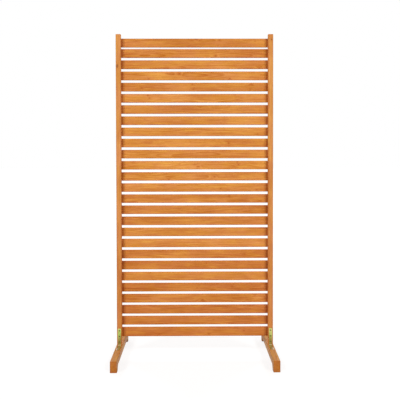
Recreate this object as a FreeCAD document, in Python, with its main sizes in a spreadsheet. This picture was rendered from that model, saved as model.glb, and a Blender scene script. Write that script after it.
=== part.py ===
import FreeCAD, Part
import os
import re

import Sketcher

# Garden privacy screen: a slatted timber panel on two posts, each standing on a relieved beam foot.
# Millimetres. X runs along the panel, Y from the front to the back, Z up from the ground.
# The origin is on the ground, midway between the feet and midway along them.

os.makedirs("parts", exist_ok=True)
doc = FreeCAD.newDocument("GardenPrivacyScreen")

sizes = {
    # whole screen
    "overallWidth": 884,  # over the outer faces of the feet
    "overallHeight": 1800,  # ground to post tops
    # posts, square in section
    "postSize": 28,
    "postEdgeBevel": 1.5,
    # slats, behind the posts
    "slatHeight": 48.5,
    "bottomSlatHeight": 52,
    "slatThickness": 12,
    "slatEdgeBevel": 1.2,
    "slatEndMargin": 3,  # from the outer face of a post to the slat's end
    "panelGroundClearance": 104,  # ground to the lowest slat
    "panelTopDrop": 20,  # post top down to the highest slat
    "topGapTrim": 4.5,  # the gap under the highest slat is this much narrower than the others
    # feet, with the underside cut away between two end pads
    "footLength": 600,
    "footWidth": 36,
    "footHeight": 60,
    "footPadLength": 35,  # of an end pad on the ground
    "reliefHeight": 26,
    "reliefRampRun": 25,  # sloped end of the relief, measured along the foot
    "reliefCornerRound": 14,
    "footEdgeBevel": 2,
    # angle brackets
    "bracketLeg": 96,
    "bracketWidth": 18,
    "bracketThickness": 2.5,
    "bracketBendRound": 2,  # inside the bend
    "bracketCornerRound": 3,
    "bracketFirstHole": 20,  # from the corner of post and foot
    "bracketLastHole": 12,  # from the end of the leg
    "countersinkLand": 0.25,  # plate left below a countersunk head
    # countersunk bracket screws, whose heads fill the countersinks
    "screwLength": 16,
    "screwShankRadius": 2,
    "screwHeadRim": 0.3,  # upright rim of the head, above its cone
    "screwTipBevel": 1.4,
    # long screw up through each foot into the post
    "footScrewLength": 62,
    "footScrewShankRadius": 2.5,
    "footScrewHeadRadius": 5.5,
    "footScrewHeadHeight": 3.5,
    "footScrewHeadBevel": 1.2,
    "footScrewTipBevel": 1.8,
    "counterboreDepth": 9,
    # staples through the slats into the posts
    "stapleCrown": 12,
    "stapleWireWidth": 1.4,
    "stapleWireThickness": 1,
    "stapleHold": 13,  # depth of the legs in the post
    "stapleInset": 9,  # from the inner face of a post to the middle of the staples
    # clearances
    "pilotClearance": 0.05,  # round a shank in timber
    "bracketHoleClearance": 0.3,  # round a shank in the bracket
    "countersinkClearance": 0.1,  # round a countersunk head
    "counterboreClearance": 1,  # round the head of the long screw
    "holeEndClearance": 1,  # past a screw's tip
    "stapleClearance": 0.1,  # round the staple wire
}
slatCount = 27
bracketHoleCount = 3  # in each leg
closeTo = 1e-5  # nearer than this counts as the same place
shankSides = 12  # screws and the holes they bite into are many-sided: both are hidden in the timber

sheet = doc.addObject("Spreadsheet::Sheet", "Sizes")
for row, (name, size) in enumerate(sizes.items(), start=1):
    sheet.set(f"A{row}", name)
    sheet.set(f"B{row}", str(size))
    sheet.setAlias(f"B{row}", name)
doc.recompute()


def linked(formula):
    """The formula with each size's name pointing at its cell in the sheet."""
    return re.sub(r"[A-Za-z]\w*", lambda word: f"Sizes.{word[0]}" if word[0] in sizes else word[0], formula)


def number(formula):
    return float(sheet.evalExpression(linked(formula)))


def bind(thing, prop, formula):
    thing.setExpression(prop, linked(formula))


# Places that several pieces share
postCentreX = "(overallWidth - footWidth) / 2"
postLength = "(overallHeight - footHeight)"
panelHeight = "(overallHeight - panelTopDrop - panelGroundClearance)"
slatPitch = f"(({panelHeight} - bottomSlatHeight + topGapTrim) / {slatCount - 1})"
lowestStapleZ = "(panelGroundClearance + bottomSlatHeight - slatHeight / 2)"  # staples keep the pitch throughout
stapleX = f"({postCentreX} - postSize / 2 + stapleInset)"
bracketHolePitch = f"((bracketLeg - bracketFirstHole - bracketLastHole) / {bracketHoleCount - 1})"
screwHeadDepth = "(bracketThickness - countersinkLand)"
screwHeadRadius = f"(screwShankRadius + ({screwHeadDepth} - screwHeadRim) / cos({180 / shankSides}))"
footScrewY = "((screwLength - bracketThickness) / 2)"  # halfway from the bracket screws to the rear
footScrewHeadSeatZ = "(reliefHeight + counterboreDepth)"
pilotRadius = "(screwShankRadius + pilotClearance)"
footPilotRadius = "(footScrewShankRadius + pilotClearance)"


def new_body(label):
    body = doc.addObject("PartDesign::Body", label)
    body.Label = label
    return body


def datum(body, role):
    return next(item for item in body.Origin.OriginFeatures if item.Role == role)


def place(body, x="0", y="0", z="0", rotation=FreeCAD.Rotation()):
    body.Placement = FreeCAD.Placement(FreeCAD.Vector(), rotation)
    for axis, formula in zip("xyz", (x, y, z)):
        bind(body, f"Placement.Base.{axis}", formula)


def sketch_on(body, role, name, offset="0"):
    """A sketch on one of the body's own planes, moved along the plane's normal by the offset."""
    sketch = body.newObject("Sketcher::SketchObject", name)
    sketch.AttachmentSupport = [(datum(body, role), "")]
    sketch.MapMode = "FlatFace"
    bind(sketch, "AttachmentOffset.Base.z", offset)
    return sketch


def pin(sketch, item, point, x, y):
    """Holds one point of a sketch's item at x, y from the sketch's origin."""
    for kind, formula in (("DistanceX", x), ("DistanceY", y)):
        index = sketch.addConstraint(Sketcher.Constraint(kind, -1, 1, item, point, number(formula)))
        bind(sketch, f"Constraints[{index}]", formula)


def outline(sketch, corners):
    """A closed outline of straight lines through the corners, each a pair of formulas."""
    spots = [FreeCAD.Vector(number(x), number(y), 0) for x, y in corners]
    first = sketch.GeometryCount
    count = len(spots)
    for i in range(count):
        sketch.addGeometry(Part.LineSegment(spots[i], spots[(i + 1) % count]), False)
    for i in range(count):
        sketch.addConstraint(Sketcher.Constraint("Coincident", first + i, 2, first + (i + 1) % count, 1))
    for i, (x, y) in enumerate(corners):
        pin(sketch, first + i, 1, x, y)


def rectangle(sketch, width, height, x="0", y="0"):
    """A rectangle of the given width and height with its middle at x, y."""
    left, right = f"{x} - {width} / 2", f"{x} + {width} / 2"
    low, high = f"{y} - {height} / 2", f"{y} + {height} / 2"
    outline(sketch, [(left, low), (right, low), (right, high), (left, high)])


def circle(sketch, radius, x="0", y="0"):
    middle = FreeCAD.Vector(number(x), number(y), 0)
    item = sketch.addGeometry(Part.Circle(middle, FreeCAD.Vector(0, 0, 1), number(radius)), False)
    index = sketch.addConstraint(Sketcher.Constraint("Radius", item, number(radius)))
    bind(sketch, f"Constraints[{index}]", radius)
    pin(sketch, item, 3, x, y)


def many_sided(sketch, radius, x="0", y="0"):
    """A regular outline whose corners lie on a circle of the given radius."""
    turns = [360 / shankSides * (i + 0.5) for i in range(shankSides)]
    outline(sketch, [(f"{x} + {radius} * cos({turn})", f"{y} + {radius} * sin({turn})") for turn in turns])


def pad(body, sketch, length, symmetric=False, reverse=False):
    feature = body.newObject("PartDesign::Pad", "Pad")
    feature.Profile = sketch
    feature.SideType = "Symmetric" if symmetric else "One side"
    feature.Reversed = reverse
    bind(feature, "Length", length)
    doc.recompute()
    return feature


def pocket(body, sketch, depth, reverse=False):
    """Cuts the sketch into the body, against the sketch plane's normal or, reversed, along it."""
    before = body.Shape.Volume
    feature = body.newObject("PartDesign::Pocket", "Pocket")
    feature.Profile = sketch
    feature.Reversed = reverse
    bind(feature, "Length", depth)
    doc.recompute()
    if feature.Shape.Volume >= before:
        raise RuntimeError(f"{sketch.Label} of {body.Label} cuts nothing")
    return feature


def repeat(body, axis, pitch, count, features=None):
    """A row of the features, or of the whole body where none are named."""
    pattern = body.newObject("PartDesign::LinearPattern", "Row")
    if features:
        pattern.Originals = features
    else:
        pattern.TransformMode = "Whole shape"
    pattern.Direction = (datum(body, axis), [""])
    pattern.Mode = "Spacing"
    bind(pattern, "Offset", pitch)
    pattern.Occurrences = count
    body.Tip = pattern
    doc.recompute()
    return pattern


def straight_edges(feature, direction, wanted=lambda middle: True):
    """Names of the straight edges that lie along the direction, where wanted says yes to their middles."""
    names = []
    for index, edge in enumerate(feature.Shape.Edges, start=1):
        run = edge.lastVertex().Point - edge.firstVertex().Point
        middle = edge.CenterOfMass
        if isinstance(edge.Curve, Part.Line) and run.cross(direction).Length < closeTo and wanted(middle):
            names.append(f"Edge{index}")
    return names


def end_edges(feature, height):
    """Names of the edges whose two ends are at the height."""
    names = []
    for index, edge in enumerate(feature.Shape.Edges, start=1):
        if all(abs(corner.Z - height) < closeTo for corner in edge.Vertexes):
            names.append(f"Edge{index}")
    return names


def bevel(body, feature, edges, size):
    eased = body.newObject("PartDesign::Chamfer", "Bevel")
    eased.Base = (feature, edges)
    bind(eased, "Size", size)
    doc.recompute()
    return eased


def fillet(body, feature, edges, radius):
    eased = body.newObject("PartDesign::Fillet", "Round")
    eased.Base = (feature, edges)
    bind(eased, "Radius", radius)
    doc.recompute()
    return eased


alongX = FreeCAD.Vector(1, 0, 0)
alongY = FreeCAD.Vector(0, 1, 0)
alongZ = FreeCAD.Vector(0, 0, 1)
rearOf = "-{} / 2"  # offset of an XZ plane, whose normal points forwards, to a rear face
frontOf = "{} / 2"


def make_post(label, side):
    """Square post, grooved at the back for the staples and drilled for the bracket and foot screws."""
    body = new_body(label)
    section = sketch_on(body, "XY_Plane", "Section")
    rectangle(section, "postSize", "postSize")
    shaft = pad(body, section, postLength)
    top = number(postLength) - closeTo
    upright = straight_edges(shaft, alongZ)
    crown = straight_edges(shaft, alongX, lambda middle: middle.z > top)
    crown += straight_edges(shaft, alongY, lambda middle: middle.z > top)
    bevel(body, shaft, upright + crown, "postEdgeBevel")

    slots = sketch_on(body, "XZ_Plane", "StapleSlots", rearOf.format("postSize"))
    legGap = "(stapleCrown - stapleWireThickness) / 2"
    for way in ("-", "+"):
        rectangle(
            slots,
            "(stapleWireWidth + 2 * stapleClearance)",
            "(stapleWireThickness + 2 * stapleClearance)",
            f"{-side} * (postSize / 2 - stapleInset)",
            f"{lowestStapleZ} - footHeight {way} {legGap}",
        )
    legs = pocket(body, slots, "stapleHold + stapleClearance", reverse=True)
    repeat(body, "Z_Axis", slatPitch, slatCount, [legs])

    pilots = sketch_on(body, "XZ_Plane", "BracketPilots", frontOf.format("postSize"))
    for i in range(bracketHoleCount):
        many_sided(pilots, pilotRadius, "0", f"(bracketFirstHole + {i} * {bracketHolePitch})")
    pocket(body, pilots, "screwLength - bracketThickness + holeEndClearance")

    bore = sketch_on(body, "XY_Plane", "FootScrewPilot")
    many_sided(bore, footPilotRadius, "0", footScrewY)
    depth = f"{footScrewHeadSeatZ} + footScrewLength - footHeight + holeEndClearance"
    pocket(body, bore, depth, reverse=True)
    place(body, x=f"{side} * {postCentreX}", z="footHeight")


def make_slat(label, index):
    """Thin board with eased edges and, at each end, a slot for a staple driven flush."""
    height = "slatHeight"
    staplesUp = "0"  # from the middle of the board to the middle of its staples
    if index == 0:
        staplesUp = "topGapTrim"
    if index == slatCount - 1:
        height = "bottomSlatHeight"
        staplesUp = "(bottomSlatHeight - slatHeight) / 2"
    body = new_body(label)
    section = sketch_on(body, "YZ_Plane", "Section")
    rectangle(section, "slatThickness", height)
    board = pad(body, section, f"2 * ({postCentreX} + postSize / 2 - slatEndMargin)", symmetric=True)
    bevel(body, board, straight_edges(board, alongX), "slatEdgeBevel")

    crowns = sketch_on(body, "XZ_Plane", "CrownSlots", rearOf.format("slatThickness"))
    legs = sketch_on(body, "XZ_Plane", "LegSlots", rearOf.format("slatThickness"))
    slotWidth = "(stapleWireWidth + 2 * stapleClearance)"
    for side in (-1, 1):
        x = f"{side} * {stapleX}"
        rectangle(crowns, slotWidth, "(stapleCrown + 2 * stapleClearance)", x, staplesUp)
        for way in ("-", "+"):
            z = f"{staplesUp} {way} (stapleCrown - stapleWireThickness) / 2"
            rectangle(legs, slotWidth, "(stapleWireThickness + 2 * stapleClearance)", x, z)
    pocket(body, crowns, "stapleWireThickness", reverse=True)
    pocket(body, legs, "slatThickness", reverse=True)
    z = f"{lowestStapleZ} + {slatCount - 1 - index} * {slatPitch} - {staplesUp}"
    place(body, y="(postSize + slatThickness) / 2", z=z)


def make_foot(label, side):
    """Beam laid front to back, relieved underneath so that it stands on a pad at each end."""
    body = new_body(label)
    profile = sketch_on(body, "YZ_Plane", "SideProfile")
    end = "footLength / 2"
    padEnd = f"({end} - footPadLength)"
    rampEnd = f"({end} - footPadLength - reliefRampRun)"
    rear = [(end, "0"), (end, "footHeight")]
    front = [(f"-{x}", z) for x, z in reversed(rear)]
    rampFront = [(f"-{padEnd}", "0"), (f"-{rampEnd}", "reliefHeight")]
    rampRear = [(rampEnd, "reliefHeight"), (padEnd, "0")]
    outline(profile, rear + front + rampFront + rampRear)
    beam = pad(body, profile, "footWidth", symmetric=True)
    reliefZ = number("reliefHeight")
    corners = straight_edges(beam, alongX, lambda middle: abs(middle.z - reliefZ) < closeTo)
    relieved = fillet(body, beam, corners, "reliefCornerRound")
    topZ = number("footHeight") - closeTo
    endY = number(end) - closeTo
    upper = straight_edges(relieved, alongY, lambda middle: middle.z > topZ)
    upper += straight_edges(relieved, alongX, lambda middle: middle.z > topZ)
    upright = straight_edges(relieved, alongZ, lambda middle: abs(middle.y) > endY)
    bevel(body, relieved, upper + upright, "footEdgeBevel")

    pilots = sketch_on(body, "XY_Plane", "BracketPilots", "footHeight")
    for i in range(bracketHoleCount):
        y = f"(-postSize / 2 - bracketFirstHole - {i} * {bracketHolePitch})"
        many_sided(pilots, pilotRadius, "0", y)
    pocket(body, pilots, "screwLength - bracketThickness + holeEndClearance")

    bore = sketch_on(body, "XY_Plane", "FootScrewBore")
    many_sided(bore, footPilotRadius, "0", footScrewY)
    pocket(body, bore, "footHeight", reverse=True)
    counterbore = sketch_on(body, "XY_Plane", "Counterbore")
    circle(counterbore, "footScrewHeadRadius + counterboreClearance", "0", footScrewY)
    pocket(body, counterbore, footScrewHeadSeatZ, reverse=True)
    place(body, x=f"{side} * {postCentreX}")


def make_bracket(label, side):
    """Steel angle, its corner at the meeting of the post's front face and the foot's top."""
    body = new_body(label)
    profile = sketch_on(body, "YZ_Plane", "Profile")
    leg, wall = "bracketLeg", "bracketThickness"
    postSide = [("0", "0"), ("0", leg), (f"-{wall}", leg)]
    footSide = [(f"-{wall}", wall), (f"-{leg}", wall), (f"-{leg}", "0")]
    outline(profile, postSide + footSide)
    angle = pad(body, profile, "bracketWidth", symmetric=True)
    inside = FreeCAD.Vector(0, -number(wall), number(wall))
    bend = straight_edges(angle, alongX, lambda middle: middle.isEqual(inside, closeTo))
    folded = fillet(body, angle, bend, "bracketBendRound")
    heel = straight_edges(folded, alongX, lambda middle: middle.Length < closeTo)
    folded = fillet(body, folded, heel, "bracketBendRound + bracketThickness")
    tip = number(leg) - closeTo
    corners = straight_edges(folded, alongY, lambda middle: middle.z > tip)
    corners += straight_edges(folded, alongZ, lambda middle: middle.y < -tip)
    fillet(body, folded, corners, "bracketCornerRound")

    faces = (
        ("XZ_Plane", "Post", ""),
        ("XY_Plane", "Foot", "-"),
    )
    for role, name, away in faces:
        holes = sketch_on(body, role, f"{name}Holes", wall)
        for i in range(bracketHoleCount):
            spot = f"{away}(bracketFirstHole + {i} * {bracketHolePitch})"
            circle(holes, "screwShankRadius + bracketHoleClearance", "0", spot)
        doc.recompute()
        before = body.Shape.Volume
        drilled = body.newObject("PartDesign::Hole", f"{name}ScrewHoles")
        drilled.Profile = holes
        doc.recompute()
        drilled.ThreadType = "None"
        drilled.DepthType = "Dimension"
        drilled.HoleCutType = "Countersink"
        drilled.HoleCutCountersinkAngle = 90
        drilled.DrillPoint = "Flat"
        bind(drilled, "Depth", "2 * bracketThickness")
        bind(drilled, "Diameter", "2 * (screwShankRadius + bracketHoleClearance)")
        bind(drilled, "HoleCutDiameter", f"2 * ({screwHeadRadius} + screwHeadRim + countersinkClearance)")
        doc.recompute()
        if drilled.Shape.Volume >= before:
            raise RuntimeError(f"{drilled.Label} of {label} cuts nothing")
    place(body, x=f"{side} * {postCentreX}", y="-postSize / 2", z="footHeight")


def make_bracket_screws(label, side, upright):
    """A leg's countersunk screws, in a row away from the corner, as separate solids."""
    body = new_body(label)
    outlineOfHead = sketch_on(body, "XY_Plane", "Head")
    many_sided(outlineOfHead, screwHeadRadius)
    head = pad(body, outlineOfHead, screwHeadDepth, reverse=True)
    bevel(body, head, end_edges(head, -number(screwHeadDepth)), f"{screwHeadDepth} - screwHeadRim")
    outlineOfShank = sketch_on(body, "XY_Plane", "Shank", f"-{screwHeadDepth}")
    many_sided(outlineOfShank, "screwShankRadius")
    shank = pad(body, outlineOfShank, f"screwLength - {screwHeadDepth}", reverse=True)
    bevel(body, shank, end_edges(shank, -number("screwLength")), "screwTipBevel")
    repeat(body, "Y_Axis", bracketHolePitch, bracketHoleCount)
    x = f"{side} * {postCentreX}"
    if upright:
        facingFront = FreeCAD.Rotation(alongX, 90)
        place(body, x, "-postSize / 2 - bracketThickness", "footHeight + bracketFirstHole", facingFront)
    else:
        runningForward = FreeCAD.Rotation(alongZ, 180)
        place(body, x, "-postSize / 2 - bracketFirstHole", "footHeight + bracketThickness", runningForward)


def make_foot_screw(label, side):
    """Long pan-head screw, head down in the foot's counterbore, its shank in the post's end grain."""
    body = new_body(label)
    outlineOfHead = sketch_on(body, "XY_Plane", "Head")
    many_sided(outlineOfHead, "footScrewHeadRadius")
    head = pad(body, outlineOfHead, "footScrewHeadHeight", reverse=True)
    bevel(body, head, end_edges(head, -number("footScrewHeadHeight")), "footScrewHeadBevel")
    outlineOfShank = sketch_on(body, "XY_Plane", "Shank")
    many_sided(outlineOfShank, "footScrewShankRadius")
    shank = pad(body, outlineOfShank, "footScrewLength")
    bevel(body, shank, end_edges(shank, number("footScrewLength")), "footScrewTipBevel")
    place(body, f"{side} * {postCentreX}", footScrewY, footScrewHeadSeatZ)


def make_staples(label, side):
    """One crown staple for each slat, driven from behind through the slat into the post."""
    body = new_body(label)
    profile = sketch_on(body, "YZ_Plane", "Profile")
    half = "stapleCrown / 2"
    inside = "(stapleCrown / 2 - stapleWireThickness)"
    tip = "-(slatThickness + stapleHold)"
    inner = "-stapleWireThickness"
    upperLeg = [("0", half), (tip, half), (tip, inside), (inner, inside)]
    lowerLeg = [(y, f"-{z}") for y, z in reversed(upperLeg)]
    outline(profile, upperLeg + lowerLeg)
    wire = pad(body, profile, "stapleWireWidth", symmetric=True)
    repeat(body, "Z_Axis", slatPitch, slatCount, [wire])
    place(body, f"{side} * {stapleX}", "postSize / 2 + slatThickness", lowestStapleZ)


for name, side in (("left", -1), ("right", 1)):
    make_post(f"{name}_post", side)
    make_foot(f"{name}_foot", side)
    make_bracket(f"{name}_bracket", side)
    make_bracket_screws(f"{name}_bracket_post_screws", side, upright=True)
    make_bracket_screws(f"{name}_bracket_foot_screws", side, upright=False)
    make_foot_screw(f"{name}_foot_screw", side)
    make_staples(f"{name}_slat_staples", side)
for index in range(slatCount):
    make_slat(f"slat_{index + 1:02d}", index)

doc.recompute()
for item in doc.Objects:
    if "Invalid" in item.State or "Error" in item.State:
        raise RuntimeError(f"{item.Label} failed: {item.State}")
bodies = [item for item in doc.Objects if item.TypeId == "PartDesign::Body"]
for body in bodies:
    if body.Shape.isNull() or not body.Shape.isValid():
        raise RuntimeError(f"{body.Label} has no sound shape")
for body in bodies:
    body.Shape.exportStep(f"parts/{body.Label}.step")
print(len(bodies), "pieces,", sum(len(body.Shape.Solids) for body in bodies), "solids")
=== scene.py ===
import math
import random

import bmesh
import bpy
from mathutils import Euler, Matrix, Vector


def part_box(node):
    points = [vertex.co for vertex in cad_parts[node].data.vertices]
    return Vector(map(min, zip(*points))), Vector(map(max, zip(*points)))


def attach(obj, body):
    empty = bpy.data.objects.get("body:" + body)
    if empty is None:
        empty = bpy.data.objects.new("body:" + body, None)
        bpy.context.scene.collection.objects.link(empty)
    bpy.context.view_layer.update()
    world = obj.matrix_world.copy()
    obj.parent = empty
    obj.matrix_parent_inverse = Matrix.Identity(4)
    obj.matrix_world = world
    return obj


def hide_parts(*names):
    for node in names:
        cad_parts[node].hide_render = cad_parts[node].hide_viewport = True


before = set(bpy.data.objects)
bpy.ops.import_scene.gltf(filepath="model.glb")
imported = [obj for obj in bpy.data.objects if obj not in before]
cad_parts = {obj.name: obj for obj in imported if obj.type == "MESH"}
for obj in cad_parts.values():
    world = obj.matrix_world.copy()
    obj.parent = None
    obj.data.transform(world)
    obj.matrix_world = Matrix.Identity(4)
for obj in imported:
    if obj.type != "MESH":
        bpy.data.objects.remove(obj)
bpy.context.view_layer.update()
slats = sorted(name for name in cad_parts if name.startswith("slat_"))
sides = ("left", "right")
perMetre = 1000  # millimetres
print("frame loaded:", len(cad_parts), "pieces,", len(slats), "slats")


# Shader helpers

# sets a node's inputs, each from a socket or to a plain value
def fill(tree, node, values):
    for key, value in values.items():
        if isinstance(value, bpy.types.NodeSocket):
            tree.links.new(value, node.inputs[key])
        else:
            node.inputs[key].default_value = value
    return node


def addNode(tree, kind, values, **settings):
    node = tree.nodes.new("ShaderNode" + kind)
    for name, setting in settings.items():
        setattr(node, name, setting)
    return fill(tree, node, values)


def calc(tree, operation, a, b=0.0, c=0.0):
    return addNode(tree, "Math", {0: a, 1: b, 2: c}, operation=operation).outputs[0]


# the parts added up, each times its weight
def weigh(tree, parts):
    total = None
    for part, weight in parts:
        share = calc(tree, "MULTIPLY", part, weight)
        total = share if total is None else calc(tree, "ADD", total, share)
    return total


def smoothRange(tree, value, start, end, low=0.0, high=1.0):
    values = {"Value": value, "From Min": start, "From Max": end, "To Min": low, "To Max": high}
    return addNode(tree, "MapRange", values, interpolation_type="SMOOTHSTEP").outputs[0]


def fadeOut(tree, value, start, end):
    return smoothRange(tree, value, start, end, 1.0, 0.0)


def vectorCalc(tree, operation, a, b=(0, 0, 0), c=(0, 0, 0)):
    return addNode(tree, "VectorMath", {0: a, 1: b, 2: c}, operation=operation).outputs[0]


def scaled(tree, vector, factor):
    return addNode(tree, "VectorMath", {0: vector, "Scale": factor}, operation="SCALE").outputs[0]


def lengthOf(tree, vector):
    return addNode(tree, "VectorMath", {0: vector}, operation="LENGTH").outputs["Value"]


def splitVector(tree, vector):
    return addNode(tree, "SeparateXYZ", {0: vector}).outputs


def noise(tree, vector, scale, detail=2.0, roughness=0.5):
    values = {"Vector": vector, "Scale": scale, "Detail": detail, "Roughness": roughness}
    return addNode(tree, "TexNoise", values).outputs


def stretchedNoise(tree, vector, stretch, detail=2.0, roughness=0.5, start=(0, 0, 0)):
    stretched = vectorCalc(tree, "MULTIPLY_ADD", vector, stretch, start)
    return noise(tree, stretched, 1.0, detail, roughness)["Fac"]


def mixColor(tree, amount, a, b, blend="MIX"):
    node = addNode(tree, "Mix", {0: amount, 6: a, 7: b}, data_type="RGBA", blend_type=blend)
    return node.outputs[2]


def tintColor(tree, amount, color, tint):
    return mixColor(tree, amount, color, (*tint, 1), "MULTIPLY")


def setBump(tree, shader, height, strength, distance):
    values = {"Height": height, "Strength": strength, "Distance": distance}
    tree.links.new(addNode(tree, "Bump", values).outputs[0], shader["Normal"])


# inputs come with their values, and a value's length says what kind of socket it needs
def newGroup(name, inputs, outputs):
    tree = bpy.data.node_groups.new(name, "ShaderNodeTree")
    kinds = {1: "Float", 3: "Vector", 4: "Color"}
    for label, value in inputs.items():
        kind = "NodeSocket" + kinds[len(value) if isinstance(value, tuple) else 1]
        socket = tree.interface.new_socket(label, in_out="INPUT", socket_type=kind)
        socket.default_value = value
    for label in outputs:
        kind = "NodeSocketColor" if label == "Color" else "NodeSocketFloat"
        tree.interface.new_socket(label, in_out="OUTPUT", socket_type=kind)
    start = tree.nodes.new("NodeGroupInput")
    end = tree.nodes.new("NodeGroupOutput")
    return tree, start.outputs, end.inputs


def useGroup(tree, group, values):
    node = tree.nodes.new("ShaderNodeGroup")
    node.node_tree = group
    return fill(tree, node, values).outputs


def newMaterial(name, constants):
    material = bpy.data.materials.new(name)
    material.use_nodes = True
    tree = material.node_tree
    shader = fill(tree, tree.nodes["Principled BSDF"], constants)
    return material, tree, shader.inputs


def dress(node, material):
    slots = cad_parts[node].data.materials
    slots.clear()
    slots.append(material)


# Timber: every vector in these groups is in a board's own space, x along, y across, z through it

noNoise = (0.5, 0.5, 0.5)  # the middle of a noise colour
acrossGrain = (0, 1, 1)

ringForm = {  # lengths in metres
    "drift": (1.0, 0.35, 0.35),  # how the middle of the tree wanders, slowly along the board
    "driftScale": 2.6,
    "driftDetail": 1.0,
    "ripple": (9, 60, 60),
    "rippleHeight": 0.0016,
    "widthChange": 0.37,  # how fast the rings' widths change from year to year
    "widthDetail": 1.0,
    "lateWood": (0.30, 0.93),  # the part of a year's growth over which it darkens
    "yearEnd": (0.95, 1.0),
    "yearShade": (0.6, 0.4),  # how far the years differ, and the palest
}


def growthRingGroup():
    tree, given, made = newGroup(
        "growthRings",
        {"Vector": (0, 0, 0), "Pith": (0, 0, 0.03), "Ring Width": 0.004, "Wander": 0.03,
         "Swell": 0.0},
        ("Latewood", "Band"),
    )
    slow = vectorCalc(tree, "MULTIPLY", given["Vector"], ringForm["drift"])
    drift = noise(tree, slow, ringForm["driftScale"], ringForm["driftDetail"])["Color"]
    drift = scaled(tree, vectorCalc(tree, "SUBTRACT", drift, noNoise), given["Wander"])
    fromPith = vectorCalc(tree, "SUBTRACT", given["Vector"], given["Pith"])
    fromPith = vectorCalc(tree, "ADD", fromPith, drift)
    radius = lengthOf(tree, vectorCalc(tree, "MULTIPLY", fromPith, acrossGrain))
    ripple = stretchedNoise(tree, given["Vector"], ringForm["ripple"])
    radius = calc(tree, "ADD", radius, calc(tree, "MULTIPLY", ripple, ringForm["rippleHeight"]))
    radius = calc(tree, "ADD", radius, given["Swell"])
    rings = calc(tree, "DIVIDE", radius, given["Ring Width"])
    widths = {"W": rings, "Scale": ringForm["widthChange"], "Detail": ringForm["widthDetail"]}
    uneven = addNode(tree, "TexNoise", widths, noise_dimensions="1D")
    rings = calc(tree, "ADD", rings, uneven.outputs["Fac"])
    growth = calc(tree, "FRACT", rings)
    late = smoothRange(tree, growth, *ringForm["lateWood"])
    late = calc(tree, "MULTIPLY", late, fadeOut(tree, growth, *ringForm["yearEnd"]))
    year = {"W": calc(tree, "FLOOR", rings)}
    band = addNode(tree, "TexWhiteNoise", year, noise_dimensions="1D").outputs["Value"]
    shade = calc(tree, "MULTIPLY_ADD", band, *ringForm["yearShade"])
    tree.links.new(calc(tree, "MULTIPLY", late, shade), made["Latewood"])
    tree.links.new(band, made["Band"])
    return tree


fibreForm = {  # stretch of each pattern, then where needed its detail, roughness and start
    "streak": ((6, 330, 330), 3.0, 0.6),
    "broadPatch": ((3.2, 10, 10),),
    "finePatch": ((17, 100, 100), 3.0, 0.65),
    "warmth": ((9, 45, 45), 2.0, 0.5, (4.7, 1.9, 8.3)),
    "fleck": ((9, 140, 140), 1.0, 0.5, (9.1, 3.3, 6.2)),
    "canal": ((45, 900, 900), 0.0),
}
fibreMarks = {
    "broadPatch": 0.6,
    "finePatch": 0.4,
    "fleck": (0.60, 0.70),  # noise at which it begins and is full
    "canal": (0.70, 0.78),
}


def fibreGroup():
    tree, given, made = newGroup(
        "fibre", {"Vector": (0, 0, 0)}, ("Streak", "Patch", "Warmth", "Fleck", "Canal"))
    found = {mark: stretchedNoise(tree, given["Vector"], *form) for mark, form in fibreForm.items()}
    patch = weigh(tree, [(found[mark], fibreMarks[mark]) for mark in ("broadPatch", "finePatch")])
    tree.links.new(found["streak"], made["Streak"])
    tree.links.new(patch, made["Patch"])
    tree.links.new(found["warmth"], made["Warmth"])
    tree.links.new(smoothRange(tree, found["fleck"], *fibreMarks["fleck"]), made["Fleck"])
    tree.links.new(smoothRange(tree, found["canal"], *fibreMarks["canal"]), made["Canal"])
    return tree


knotForm = {  # distances in knot radii
    "stretch": (0.72, 1, 0),  # a knot is longer along the grain
    "raggedScale": 160.0,
    "ragged": (0.7, 0.7, 0),
    "heart": (0.25, 1.3),  # where the dark heart begins to fade and ends
    "rings": 3.2,
    "ringShade": (0.2, 1.0, 0.75, 1.0),
    "haloFade": -0.25,
    "swellStretch": (0.33, 0.5, 0),  # how far the rings bend round it
    "swellFade": -1.0,
    "swell": 1.3,
}


def knotGroup():
    tree, given, made = newGroup(
        "knot",
        {"Vector": (0, 0, 0), "Place": (0, 0, 0), "Size": 0.005, "Heart In": 0.0, "Halo In": 0.0,
         "Swell In": 0.0},
        ("Heart", "Halo", "Swell"),
    )
    away = vectorCalc(tree, "SUBTRACT", given["Vector"], given["Place"])
    away = vectorCalc(tree, "MULTIPLY", away, knotForm["stretch"])
    away = scaled(tree, away, calc(tree, "DIVIDE", 1.0, given["Size"]))
    ragged = noise(tree, given["Vector"], knotForm["raggedScale"])["Color"]
    ragged = vectorCalc(tree, "SUBTRACT", ragged, noNoise)
    ragged = vectorCalc(tree, "MULTIPLY", ragged, knotForm["ragged"])
    distance = lengthOf(tree, vectorCalc(tree, "ADD", away, ragged))
    heart = fadeOut(tree, distance, *knotForm["heart"])
    rings = calc(tree, "FRACT", calc(tree, "MULTIPLY", distance, knotForm["rings"]))
    heart = calc(tree, "MULTIPLY", heart, smoothRange(tree, rings, *knotForm["ringShade"]))
    tree.links.new(calc(tree, "MAXIMUM", heart, given["Heart In"]), made["Heart"])
    squared = calc(tree, "MULTIPLY", distance, distance)
    halo = calc(tree, "EXPONENT", calc(tree, "MULTIPLY", squared, knotForm["haloFade"]))
    tree.links.new(calc(tree, "MAXIMUM", halo, given["Halo In"]), made["Halo"])
    spread = vectorCalc(tree, "MULTIPLY", away, knotForm["swellStretch"])
    spread = addNode(tree, "VectorMath", {0: spread, 1: spread}, operation="DOT_PRODUCT")
    spread = calc(tree, "MULTIPLY", spread.outputs["Value"], knotForm["swellFade"])
    tallest = calc(tree, "MULTIPLY", given["Size"], knotForm["swell"])
    swell = calc(tree, "MULTIPLY", calc(tree, "EXPONENT", spread), tallest)
    tree.links.new(calc(tree, "ADD", swell, given["Swell In"]), made["Swell"])
    return tree


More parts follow.
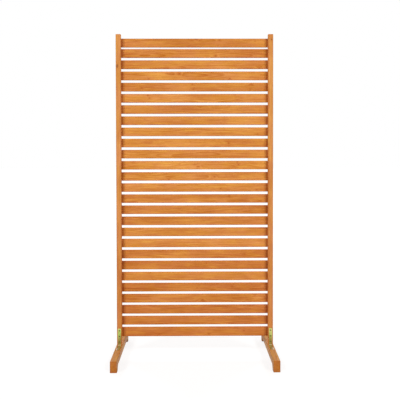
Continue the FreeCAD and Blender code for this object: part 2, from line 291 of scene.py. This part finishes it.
edgeForm = {"unevenScale": 55.0, "uneven": (1.4, 0.3)}  # how far the width varies, and the least


def boardEdgeGroup():
    tree, given, made = newGroup(
        "boardEdges",
        {"Vector": (0, 0, 0), "Half Size": (1, 1, 1), "Width": 0.003},
        ("Edge",),
    )
    distance = vectorCalc(tree, "ABSOLUTE", given["Vector"])
    inside = vectorCalc(tree, "SUBTRACT", given["Half Size"], distance)
    uneven = noise(tree, given["Vector"], edgeForm["unevenScale"])["Fac"]
    uneven = calc(tree, "MULTIPLY_ADD", uneven, *edgeForm["uneven"])
    reach = calc(tree, "DIVIDE", 1.0, calc(tree, "MULTIPLY", given["Width"], uneven))
    split = splitVector(tree, scaled(tree, inside, reach))
    near = [fadeOut(tree, split[axis], 0.0, 1.0) for axis in "XYZ"]
    pairs = [calc(tree, "MULTIPLY", a, b) for a, b in zip(near, near[1:] + near[:1])]
    edge = calc(tree, "MAXIMUM", pairs[0], calc(tree, "MAXIMUM", pairs[1], pairs[2]))
    tree.links.new(edge, made["Edge"])
    return tree


# Painted shadow: the slats are darkened in a band beside each post, where the post's shadow falls
# on them.
cornerForm = {
    "fade": (0.8, 1.2),  # in widths from the post's face
    "front": (0.3, 0.6),  # only on faces that look forwards
}


# the mask of the painted post shadow on a slat's front face
def cornerGroup():
    tree, given, made = newGroup(
        "paintedPostShadow",
        {"Vector": (0, 0, 0), "Facing": (0, 0, 1), "Post Face": 0.41, "Width": 0.009},
        ("Post Shadow",),
    )
    along = splitVector(tree, vectorCalc(tree, "ABSOLUTE", given["Vector"]))["X"]
    inward = calc(tree, "SUBTRACT", given["Post Face"], along)
    near = fadeOut(tree, calc(tree, "DIVIDE", inward, given["Width"]), *cornerForm["fade"])
    front = smoothRange(tree, splitVector(tree, given["Facing"])["Z"], *cornerForm["front"])
    tree.links.new(calc(tree, "MULTIPLY", near, front), made["Post Shadow"])
    return tree


stainForm = {
    "streak": (0.3, 0.7),
    "patch": (0.36, 0.64),
    "warmth": (0.36, 0.64),
    "heart": 0.78,
    # how much each adds to the dark grain
    "grainLatewood": 0.42,
    "grainPatch": 0.48,
    "grainStreak": 0.24,
    "grainBand": 0.10,
    # how much each adds to the roughness
    "roughGrain": 0.10,
    "roughEnd": 0.25,
    "roughHeart": -0.08,
    # how far each stands out of the surface
    "highLatewood": 0.5,
    "highStreak": 0.35,
    "highCanal": -0.5,
}
tintsUnderKnots = {  # strength and colour
    "Warmth": (1.0, (0.96, 0.88, 1.18)),  # rosier wood beside yellower
    "Depth": (1.0, (0.78, 0.62, 0.55)),
    "Fleck": (0.85, (1.12, 1.28, 1.25)),
    "Halo": (0.45, (0.84, 0.66, 0.54)),
}
tintsOverKnots = {
    "Canal": (0.3, (0.60, 0.47, 0.40)),
    "Edge": (1.0, (0.82, 0.62, 0.42)),  # darker along the edges
    "End Grain": (1.0, (0.95, 0.74, 0.62)),
    # painted shadow beside each post
    "Post Shadow": (1.0, (0.70, 0.52, 0.42)),
}


def stainGroup():
    black, white = (0, 0, 0, 1), (1, 1, 1, 1)
    tree, given, made = newGroup(
        "satinStain",
        {"Light": white, "Dark": black, "Heart Color": black, "Latewood": 0.0, "Band": 0.5,
         "Streak": 0.5, "Patch": 0.5, "Warmth": 0.5, "Fleck": 0.0, "Canal": 0.0, "Heart": 0.0,
         "Halo": 0.0, "End Grain": 0.0, "Edge": 0.0, "Post Shadow": 0.0, "Depth": 0.5, "Satin": 0.42},
        ("Color", "Roughness", "Height"),
    )
    streak = smoothRange(tree, given["Streak"], *stainForm["streak"])
    patch = smoothRange(tree, given["Patch"], *stainForm["patch"])
    marks = {label: given[label] for label in (*tintsUnderKnots, *tintsOverKnots)}
    marks["Warmth"] = smoothRange(tree, given["Warmth"], *stainForm["warmth"])
    grain = weigh(tree, [
        (given["Latewood"], stainForm["grainLatewood"]),
        (patch, stainForm["grainPatch"]),
        (streak, stainForm["grainStreak"]),
        (given["Band"], stainForm["grainBand"]),
    ])
    grain = calc(tree, "MINIMUM", grain, 1.0)
    color = mixColor(tree, grain, given["Light"], given["Dark"])
    for label, (strength, tint) in tintsUnderKnots.items():
        color = tintColor(tree, calc(tree, "MULTIPLY", marks[label], strength), color, tint)
    heart = calc(tree, "MULTIPLY", given["Heart"], stainForm["heart"])
    color = mixColor(tree, heart, color, given["Heart Color"])
    for label, (strength, tint) in tintsOverKnots.items():
        color = tintColor(tree, calc(tree, "MULTIPLY", marks[label], strength), color, tint)
    tree.links.new(color, made["Color"])
    rough = weigh(tree, [
        (given["Satin"], 1.0),
        (grain, stainForm["roughGrain"]),
        (given["End Grain"], stainForm["roughEnd"]),
        (given["Heart"], stainForm["roughHeart"]),
    ])
    tree.links.new(rough, made["Roughness"])
    height = weigh(tree, [
        (given["Latewood"], stainForm["highLatewood"]),
        (streak, stainForm["highStreak"]),
        (given["Canal"], stainForm["highCanal"]),
    ])
    tree.links.new(height, made["Height"])
    return tree


growthRings = growthRingGroup()
fibre = fibreGroup()
knot = knotGroup()
boardEdges = boardEdgeGroup()
paintedPostShadow = cornerGroup()
satinStain = stainGroup()

boardForm = {
    "treeLength": 100,  # metres of tree, one after another, that the boards are cut from
    "endGrain": (0.6, 0.9),  # how squarely a face looks along the board
    "bump": 0.5,
}


def ownSpace(tree, vector, turn, middle=(0, 0, 0)):
    values = {"Vector": vector, "Location": middle, "Rotation": turn}
    return addNode(tree, "Mapping", values, vector_type="TEXTURE").outputs[0]


def stainedTimber(node, timber, pith, depth, knots):
    low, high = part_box(node)
    turn = Euler([math.radians(angle) for angle in timber["turn"]])
    halfSize = [abs(part) for part in turn.to_matrix().transposed() @ ((high - low) / 2)]
    material, tree, shader = newMaterial(
        f"stained_{node}", {"Specular IOR Level": timber["sheen"]})
    place = addNode(tree, "TexCoord", {}).outputs
    board = ownSpace(tree, place["Object"], turn, (low + high) / 2)
    facing = ownSpace(tree, place["Normal"], turn)
    masks = {"Heart In": 0.0, "Halo In": 0.0, "Swell In": 0.0}
    for along, across, radius in knots:
        spot = (along / perMetre, across / perMetre, 0)
        found = useGroup(tree, knot, {
            "Vector": board, "Place": spot, "Size": radius / perMetre, **masks})
        masks = {label + " In": found[label] for label in ("Heart", "Halo", "Swell")}
    alongTree, *pithPlace = pith
    shifted = vectorCalc(tree, "ADD", board, [alongTree * boardForm["treeLength"], 0, 0])
    rings = useGroup(tree, growthRings, {
        "Vector": shifted, "Pith": (0, *pithPlace), "Ring Width": timber["ringWidth"],
        "Wander": timber["wander"], "Swell": masks["Swell In"],
    })
    lines = useGroup(tree, fibre, {"Vector": shifted})
    edges = useGroup(tree, boardEdges, {
        "Vector": board, "Half Size": halfSize, "Width": timber["edgeWidth"]})
    lookingAlong = splitVector(tree, vectorCalc(tree, "ABSOLUTE", facing))["X"]
    if "lowDepth" in timber:  # darker towards the bottom
        upward = splitVector(tree, board)["X"]
        depth = smoothRange(tree, upward, -halfSize[0], halfSize[0], timber["lowDepth"], depth)
    values = {
        **{label: (*timber[label.lower()], 1) for label in ("Light", "Dark")},
        **{label: lines[label] for label in ("Streak", "Patch", "Warmth", "Fleck", "Canal")},
        "Heart Color": (*timber["heart"], 1), "Heart": masks["Heart In"], "Halo": masks["Halo In"],
        "Latewood": rings["Latewood"], "Band": rings["Band"], "Edge": edges["Edge"],
        "End Grain": smoothRange(tree, lookingAlong, *boardForm["endGrain"]),
        "Depth": depth, "Satin": timber["satin"],
    }
    if "postFace" in timber:  # a slat, with painted shadow beside each post
        values["Post Shadow"] = useGroup(tree, paintedPostShadow, {
            "Vector": board, "Facing": facing, "Post Face": timber["postFace"],
            "Width": timber["corner"],
        })["Post Shadow"]
    stain = useGroup(tree, satinStain, values)
    tree.links.new(stain["Color"], shader["Base Color"])
    tree.links.new(stain["Roughness"], shader["Roughness"])
    setBump(tree, shader, stain["Height"], boardForm["bump"], timber["relief"])
    dress(node, material)


# Slats, each cut from its own place in the tree

slatTimber = {  # lengths in metres
    "light": (0.87, 0.412, 0.086),
    "dark": (0.565, 0.188, 0.020),
    "heart": (0.40, 0.090, 0.008),
    "turn": (90, 0, 0),  # along X, across Z
    "pithAcross": (-0.035, 0.035),
    "pithDeep": (0.014, 0.045),
    "eitherFace": True,  # the middle of the tree is in front of or behind the board
    "ringWidth": 0.0046,
    "wander": 0.03,
    "edgeWidth": 0.0045,
    "relief": 0.0004,
    "sheen": 0.18,
    "satin": 0.42,
    # painted shadow beside each post: where the post's inner face stands, and how wide the band is
    "postFace": 0.410,
    "corner": 0.009,
    "depthSpread": 0.06,
    "seed": 27,
}
slatTones = {  # stain depth, and the slats that have it
    "honey": (0.05, (6, 12)),
    "pale": (0.25, (3, 4, 8, 9, 10, 11, 13, 14, 19)),
    "mid": (0.48, (2, 5, 7, 18, 22)),
    "deep": (0.65, (1, 15, 16, 17, 20, 24)),
    "russet": (0.90, (21, 23, 26, 27)),
    "darkest": (1.0, (25,)),
}
# knots by slat: along from the middle, up from the centre line, radius, in millimetres
slatKnots = {
    1: [(11, 20, 4), (141, 16, 4), (132, -13, 3), (339, 9, 3)],
    2: [(118, -13, 4)],
    3: [(362, -15, 4)],
    4: [(-257, -18, 4), (-86, 11, 5), (97, 19, 3), (197, -16, 4)],
    5: [(-12, 12, 4), (-6, -12, 4), (318, 15, 4), (313, -12, 4), (-296, -4, 3)],
    6: [(-262, 16, 4), (-253, 2, 4), (243, -8, 3)],
    7: [(33, 13, 4)],
    8: [(-280, 8, 2)],
    9: [(353, -14, 4)],
    10: [(191, -2, 5)],
    12: [(-86, 7, 3), (0, 7, 3), (19, -9, 4), (240, 18, 4), (246, 3, 4)],
    13: [(-145, -16, 4), (111, -3, 5), (-161, 16, 3), (226, 6, 3)],
    14: [(146, -6, 4), (348, -14, 4)],
    15: [(194, 13, 4)],
    20: [(281, -2, 4)],
    21: [(65, 10, 4)],
    23: [(211, 3, 4), (245, -20, 4), (11, -3, 3)],
    24: [(43, -10, 5), (338, 17, 4)],
    26: [(104, 2, 3)],
    27: [(79, -15, 4), (277, 5, 4), (-203, -13, 5)],
}
rng = random.Random(slatTimber["seed"])


# a place along the tree, and where the middle of the tree lies, across the board and through it
def drawPith(timber):
    alongTree = rng.uniform(0, 1)
    across = rng.uniform(*timber["pithAcross"])
    face = rng.choice((-1, 1)) if "eitherFace" in timber else 1
    return alongTree, across, face * rng.uniform(*timber["pithDeep"])


for number, slat in enumerate(slats, start=1):
    pith = drawPith(slatTimber)
    tone = next(depth for depth, numbers in slatTones.values() if number in numbers)
    tone += rng.uniform(-slatTimber["depthSpread"], slatTimber["depthSpread"])
    stainedTimber(slat, slatTimber, pith, tone, slatKnots.get(number, []))
print("slats stained")


# Posts and feet

postTimber = {
    "light": (0.82, 0.39, 0.105),
    "dark": (0.56, 0.205, 0.031),
    "heart": (0.22, 0.070, 0.020),
    "turn": (90, -90, 0),  # along Z, across X
    "pithAcross": (0.02, 0.04),
    "pithDeep": (0.02, 0.04),
    "ringWidth": 0.0034,
    "wander": 0.02,
    "edgeWidth": 0.004,
    "relief": 0.0003,
    "sheen": 0.18,
    "satin": 0.42,
    "lowDepth": 0.76,
    "topDepth": 0.0,
}
footTimber = {
    "light": (0.59, 0.305, 0.060),
    "dark": (0.42, 0.165, 0.022),
    "heart": (0.22, 0.070, 0.020),
    "turn": (0, 0, 90),  # along Y, across X
    "pithAcross": (0.01, 0.03),
    "pithDeep": (-0.06, -0.04),
    "ringWidth": 0.0042,
    "wander": 0.02,
    "edgeWidth": 0.0035,
    "relief": 0.0004,
    "sheen": 0.25,
    "satin": 0.48,
    "depth": 0.2,
}
postKnots = {"left": [(693, 6, 8)], "right": [(840, -5, 4)]}
for side in sides:
    pith = drawPith(postTimber)
    stainedTimber(f"{side}_post", postTimber, pith, postTimber["topDepth"], postKnots[side])
    pith = drawPith(footTimber)
    stainedTimber(f"{side}_foot", footTimber, pith, footTimber["depth"], [])
print("posts and feet stained")


# Brackets: zinc plate with a yellow passivation that shifts from gold to green. Low down it is
# painted a darker olive, a painted reflection of the wooden foot, and the leg on the foot is
# painted rosier, a painted reflection of the room.

bracketPlate = {
    "gold": (0.66, 0.65, 0.22),
    "green": (0.47, 0.61, 0.15),
    # painted reflections: darker olive low down, rose on the leg that lies on the foot
    "oliveReflection": (0.44, 0.37, 0.115),
    "oliveReflectionHeight": (0.080, 0.125),  # metres above the ground
    "roseReflection": (0.74, 0.56, 0.36),
    "roseReflectionHeight": (0.0627, 0.066),  # the leg that lies on the foot
    "roseReflectionRough": 0.04,
    "roughness": 0.17,
}
# the screws' plate is darker than the brackets'
screwPlate = {"gold": (0.34, 0.30, 0.11), "green": (0.25, 0.25, 0.08), "roughness": 0.3}
platingForm = {
    "cloudNoise": (30.0, 3.0, 0.6),  # scale, detail, roughness
    "cloud": (0.36, 0.64),
    "tintNoise": (75.0, 1.0),
    "tintRange": (0.5, 0.75),
    "tint": (1.0, 0.86, 0.82),
    "rubNoise": ((900, 120, 120), 3.0),  # stretch, detail
    "rub": 0.12,
}
steelRelief = {"strength": 0.2, "distance": 0.0001}


def platingGroup():
    tree, given, made = newGroup(
        "passivatedZinc",
        {"Vector": (0, 0, 0), "Gold": (1, 1, 1, 1), "Green": (0, 0, 0, 1), "Roughness": 0.2},
        ("Color", "Roughness", "Height"),
    )
    cloud = noise(tree, given["Vector"], *platingForm["cloudNoise"])["Fac"]
    cloud = smoothRange(tree, cloud, *platingForm["cloud"])
    color = mixColor(tree, cloud, given["Gold"], given["Green"])
    tint = noise(tree, given["Vector"], *platingForm["tintNoise"])["Fac"]
    tint = smoothRange(tree, tint, *platingForm["tintRange"])
    tree.links.new(tintColor(tree, tint, color, platingForm["tint"]), made["Color"])
    rub = stretchedNoise(tree, given["Vector"], *platingForm["rubNoise"])
    rough = weigh(tree, [(given["Roughness"], 1.0), (rub, platingForm["rub"])])
    tree.links.new(rough, made["Roughness"])
    tree.links.new(rub, made["Height"])
    return tree


passivatedZinc = platingGroup()


def platedSteel(name, plate):
    material, tree, shader = newMaterial(name, {"Metallic": 1.0})
    place = addNode(tree, "TexCoord", {}).outputs["Object"]
    zinc = useGroup(tree, passivatedZinc, {
        "Vector": place, "Gold": (*plate["gold"], 1), "Green": (*plate["green"], 1),
        "Roughness": plate["roughness"],
    })
    color, rough = zinc["Color"], zinc["Roughness"]
    if "oliveReflection" in plate:
        height = splitVector(tree, place)["Z"]
        # painted reflection of the wooden foot: darker olive below this height
        low = fadeOut(tree, height, *plate["oliveReflectionHeight"])
        color = mixColor(tree, low, color, (*plate["oliveReflection"], 1))
        # painted reflection of the white room: the lying leg is rosier
        lyingLegReflection = fadeOut(tree, height, *plate["roseReflectionHeight"])
        color = mixColor(tree, lyingLegReflection, color, (*plate["roseReflection"], 1))
        rough = calc(tree, "ADD", rough, calc(tree, "MULTIPLY", lyingLegReflection, plate["roseReflectionRough"]))
    tree.links.new(color, shader["Base Color"])
    tree.links.new(rough, shader["Roughness"])
    setBump(tree, shader, zinc["Height"], **steelRelief)
    return material


bracketSteel = platedSteel("bracket_zinc", bracketPlate)
for side in sides:
    dress(f"{side}_bracket", bracketSteel)
print("brackets plated")


# Screws: a cross recess in the head, a ringed shank and a point

bracketScrew = {  # millimetres, from the drive face along the shank
    "sides": 20,
    "headRadius": 4.0,
    "rim": 0.3,
    "headDepth": 2.25,
    "headFlat": False,  # countersunk
    "neck": 0.4,  # the countersink ends this much wider than the core
    "coreRadius": 1.45,
    "crestRadius": 1.95,
    "length": 16,
    "point": 3,
    "tipRadius": 0.15,
    "threadPitch": 1.3,
    "crossArm": 2.3,
    "crossHalf": 0.5,
    "crossDepth": 1.7,
    "crossTaper": 0.45,  # the recess's bottom, as a share of its mouth
}
footScrew = {
    **bracketScrew,
    "headRadius": 5.4,
    "rim": 2.3,
    "headDepth": 3.5,
    "headFlat": True,
    "headTaper": 0.86,  # the head's underside, as a share of its rim
    "coreRadius": 1.8,
    "crestRadius": 2.45,
    "length": 65.5,
    "point": 5,
    "threadPitch": 2.4,
    "crossArm": 3.0,
    "crossHalf": 0.7,
    "crossDepth": 2.2,
}
threadForm = ((0.5, "coreRadius"), (0.25, "crestRadius"), (0.25, "coreRadius"))  # of one pitch
smoothAngle = 35  # degrees between faces that shade as one


# extrudes a round loop of edges down to a new height and radius, both in millimetres
def grow(mesh, edges, down, radius):
    made = bmesh.ops.extrude_edge_only(mesh, edges=edges)["geom"]
    corners = [part for part in made if isinstance(part, bmesh.types.BMVert)]
    flat = Vector((corners[0].co.x, corners[0].co.y)).length
    bmesh.ops.scale(mesh, vec=(radius / flat, radius / flat, 1), verts=corners)
    bmesh.ops.translate(mesh, vec=(0, 0, -down), verts=corners)
    return [part for part in made if isinstance(part, bmesh.types.BMEdge)]


def addMesh(piece, mesh):
    data = bpy.data.meshes.new("part")
    mesh.to_mesh(data)
    mesh.free()
    piece.from_mesh(data)
    bpy.data.meshes.remove(data)


def addScrew(piece, screw, place):
    mesh = bmesh.new()
    bmesh.ops.create_circle(mesh, segments=screw["sides"], radius=screw["headRadius"])
    loop = mesh.edges[:]
    arm, half = screw["crossArm"], screw["crossHalf"]
    cross = []
    for quarter in range(4):
        turn = Matrix.Rotation(math.radians(90 * quarter), 3, "Z")
        for x, y in ((arm, -half), (arm, half), (half, half)):
            cross.append(mesh.verts.new(turn @ Vector((x, y, 0))))
    recess = mesh.faces.new(cross)
    bmesh.ops.triangle_fill(mesh, edges=loop + list(recess.edges), use_beauty=True)
    sunk = bmesh.ops.extrude_discrete_faces(mesh, faces=[recess])["faces"][0]
    taper = screw["crossTaper"]
    bmesh.ops.scale(mesh, vec=(taper, taper, 1), verts=sunk.verts)
    bmesh.ops.translate(mesh, vec=(0, 0, -screw["crossDepth"]), verts=sunk.verts)
    loop = grow(mesh, loop, screw["rim"], screw["headRadius"])
    belowRim = screw["headDepth"] - screw["rim"]
    if screw["headFlat"]:
        loop = grow(mesh, loop, belowRim, screw["headRadius"] * screw["headTaper"])
        loop = grow(mesh, loop, 0.0, screw["coreRadius"])
    else:
        loop = grow(mesh, loop, belowRim, screw["coreRadius"] + screw["neck"])
    run = screw["length"] - screw["headDepth"] - screw["point"]
    turns = int(run / screw["threadPitch"])
    pitch = run / turns
    for share, radius in threadForm * turns:
        loop = grow(mesh, loop, pitch * share, screw[radius])
    loop = grow(mesh, loop, screw["point"], screw["tipRadius"])
    bmesh.ops.edgeloop_fill(mesh, edges=loop)
    bmesh.ops.recalc_face_normals(mesh, faces=mesh.faces)
    bmesh.ops.transform(mesh, matrix=place @ Matrix.Scale(1 / perMetre, 4), verts=mesh.verts)
    addMesh(piece, mesh)


def addToScene(name, data):
    thing = bpy.data.objects.new(name, data)
    bpy.context.scene.collection.objects.link(thing)
    return thing


def finishPiece(name, mesh, material, replaced):
    data = bpy.data.meshes.new(name)
    for face in mesh.faces:
        face.smooth = True
    mesh.to_mesh(data)
    mesh.free()
    data.set_sharp_from_angle(angle=math.radians(smoothAngle))
    data.materials.append(material)
    piece = addToScene(name, data)
    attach(piece, "root")
    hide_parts(replaced)


screwSteel = platedSteel("screw_zinc", screwPlate)
legs = {  # the axis that the leg's row runs along, the one that its heads face along, their turn
    "post": (2, 1, Matrix.Rotation(math.radians(90), 4, "X")),
    "foot": (1, 2, Matrix()),
}
for side in sides:
    for leg, (row, out, facing) in legs.items():
        node = f"{side}_bracket_{leg}_screws"
        low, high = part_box(node)
        head = (high + low) / 2
        head[out] = low[out] if leg == "post" else high[out]
        pitch = (high[row] - low[row]) / 2 - bracketScrew["headRadius"] / perMetre
        piece = bmesh.new()
        for step in (-1, 0, 1):
            spot = head.copy()
            spot[row] += step * pitch
            spin = Matrix.Rotation(rng.uniform(0, math.pi), 4, "Z")
            addScrew(piece, bracketScrew, Matrix.Translation(spot) @ facing @ spin)
        finishPiece(f"{side}_{leg}_leg_screws", piece, screwSteel, node)
    low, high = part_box(f"{side}_foot_screw")
    base = Vector(((low.x + high.x) / 2, (low.y + high.y) / 2, low.z))
    piece = bmesh.new()
    addScrew(piece, footScrew, Matrix.Translation(base) @ Matrix.Rotation(math.pi, 4, "X"))
    finishPiece(f"{side}_long_screw", piece, screwSteel, f"{side}_foot_screw")
print("screws turned")


# Staples: flat galvanised wire bent square, one through each slat end

staple = {
    "crown": 12,  # millimetres, as are the wire's thickness and the bend
    "wire": 1.0,
    "bend": 1.1,
    "zinc": (0.62, 0.62, 0.60),
    "dullZinc": (0.42, 0.43, 0.43),
    "spangleNoise": (900.0, 1.0),  # scale, detail
    "spangle": (0.4, 0.6),
    "roughness": (0.3, 0.25),  # how far it varies, and the least
}


def galvanised(name):
    material, tree, shader = newMaterial(name, {"Metallic": 1.0})
    place = addNode(tree, "TexCoord", {}).outputs["Object"]
    spangle = noise(tree, place, *staple["spangleNoise"])["Fac"]
    dull = smoothRange(tree, spangle, *staple["spangle"])
    color = mixColor(tree, dull, (*staple["zinc"], 1), (*staple["dullZinc"], 1))
    rough = calc(tree, "MULTIPLY_ADD", spangle, *staple["roughness"])
    tree.links.new(color, shader["Base Color"])
    tree.links.new(rough, shader["Roughness"])
    setBump(tree, shader, spangle, **steelRelief)
    return material


# one staple, as wide and deep as the row's box, with its crown's middle at the given height
def addStaple(piece, low, high, middle):
    mesh = bmesh.new()
    half = staple["wire"] / 2 / perMetre
    reach = staple["crown"] / 2 / perMetre - half
    path = [(low.y, -reach), (high.y - half, -reach), (high.y - half, reach), (low.y, reach)]
    corners = [mesh.verts.new((low.x, y, middle + z)) for y, z in path]
    for pair in zip(corners, corners[1:]):
        mesh.edges.new(pair)
    bmesh.ops.bevel(mesh, geom=corners[1:3], offset=staple["bend"] / perMetre,
                    offset_type="OFFSET", segments=3, profile=0.5, affect="VERTICES", material=-1)
    made = bmesh.ops.extrude_edge_only(mesh, edges=mesh.edges[:])["geom"]
    far = [part for part in made if isinstance(part, bmesh.types.BMVert)]
    bmesh.ops.translate(mesh, vec=(high.x - low.x, 0, 0), verts=far)
    bmesh.ops.recalc_face_normals(mesh, faces=mesh.faces)
    bmesh.ops.solidify(mesh, geom=mesh.faces[:], thickness=half)
    bmesh.ops.recalc_face_normals(mesh, faces=mesh.faces)
    addMesh(piece, mesh)


stapleZinc = galvanised("staple_zinc")
for side in sides:
    node = f"{side}_slat_staples"
    low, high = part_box(node)
    crown = staple["crown"] / perMetre
    pitch = (high.z - low.z - crown) / (len(slats) - 1)
    piece = bmesh.new()
    for step in range(len(slats)):
        addStaple(piece, low, high, low.z + crown / 2 + step * pitch)
    finishPiece(f"{side}_staples", piece, stapleZinc, node)
print("staples driven")


# Studio: pale floor, white surround, high soft lamps in front and behind

studio = {
    "roomLight": 0.33,
    "floorReach": 60.0,  # metres
    "floorHeight": -0.0005,
    "floorPaint": {"Roughness": 0.9, "Specular IOR Level": 0.1},
    "bounce": 0.6,  # how much of its light the floor gives back
    "shadowPart": 0.2,  # of the floor's look, the part that takes shadows
    "floorGlow": 0.825,  # brings the lit floor to white
    "lamps": {  # strength, turn round the screen from the front, height in degrees
        "front_left": (1.33, -34, 36),
        "front_right": (1.33, 34, 36),
        "rear_left": (0.85, -150, 36),
        "rear_right": (0.85, 150, 36),
    },
    "lampSpread": 12,  # degrees across, for soft shadow edges
}


# rays that see the floor and the room as plain white
def seenPlain(tree):
    rays = addNode(tree, "LightPath", {}).outputs
    return calc(tree, "MAXIMUM", rays["Is Camera Ray"], rays["Is Glossy Ray"])


def grey(level):
    return (level, level, level, 1)


floorMesh = bmesh.new()
bmesh.ops.create_grid(floorMesh, x_segments=1, y_segments=1, size=studio["floorReach"])
floorData = bpy.data.meshes.new("studio_floor")
floorMesh.to_mesh(floorData)
floorMesh.free()
floor = addToScene("studio_floor", floorData)
floor.location.z = studio["floorHeight"]

floorPaint, tree, shader = newMaterial("floor_paint", studio["floorPaint"])
seen = seenPlain(tree)
matt = mixColor(tree, seen, grey(studio["bounce"]), grey(studio["shadowPart"]))
tree.links.new(matt, shader["Base Color"])
shader["Emission Color"].default_value = (1, 1, 1, 1)
tree.links.new(calc(tree, "MULTIPLY", seen, studio["floorGlow"]), shader["Emission Strength"])
floorData.materials.append(floorPaint)

world = bpy.data.worlds.new("studio_room")
bpy.context.scene.world = world
world.use_nodes = True
tree = world.node_tree
strength = smoothRange(tree, seenPlain(tree), 0.0, 1.0, studio["roomLight"], 1.0)
fill(tree, tree.nodes["Background"], {"Strength": strength, "Color": (1, 1, 1, 1)})

for name, (strength, turn, height) in studio["lamps"].items():
    lampData = bpy.data.lights.new(name, "SUN")
    lampData.energy = strength
    lampData.angle = math.radians(studio["lampSpread"])
    lamp = addToScene(name, lampData)
    lamp.rotation_euler = (math.radians(90 - height), 0, math.radians(turn))
    lamp.visible_glossy = False

view = {
    "place": (-0.0095, -3.6174, 1.1156),
    "pitch": 1.40,  # degrees down
    "yaw": 0.528,  # degrees to the right
    "roll": 0.1,  # degrees, right side down
    "lens": 58.10,
    "sensor": 36.0,
    "shift": (0.0026, -0.0673),
}
cameraData = bpy.data.cameras.new("camera")
cameraData.lens = view["lens"]
cameraData.sensor_width = view["sensor"]
cameraData.shift_x, cameraData.shift_y = view["shift"]
camera = addToScene("camera", cameraData)
camera.location = view["place"]
turns = (90 - view["pitch"], view["roll"], -view["yaw"])
camera.rotation_euler = [math.radians(angle) for angle in turns]
bpy.context.scene.camera = camera
bpy.context.scene.view_settings.view_transform = "Standard"
print("studio ready")
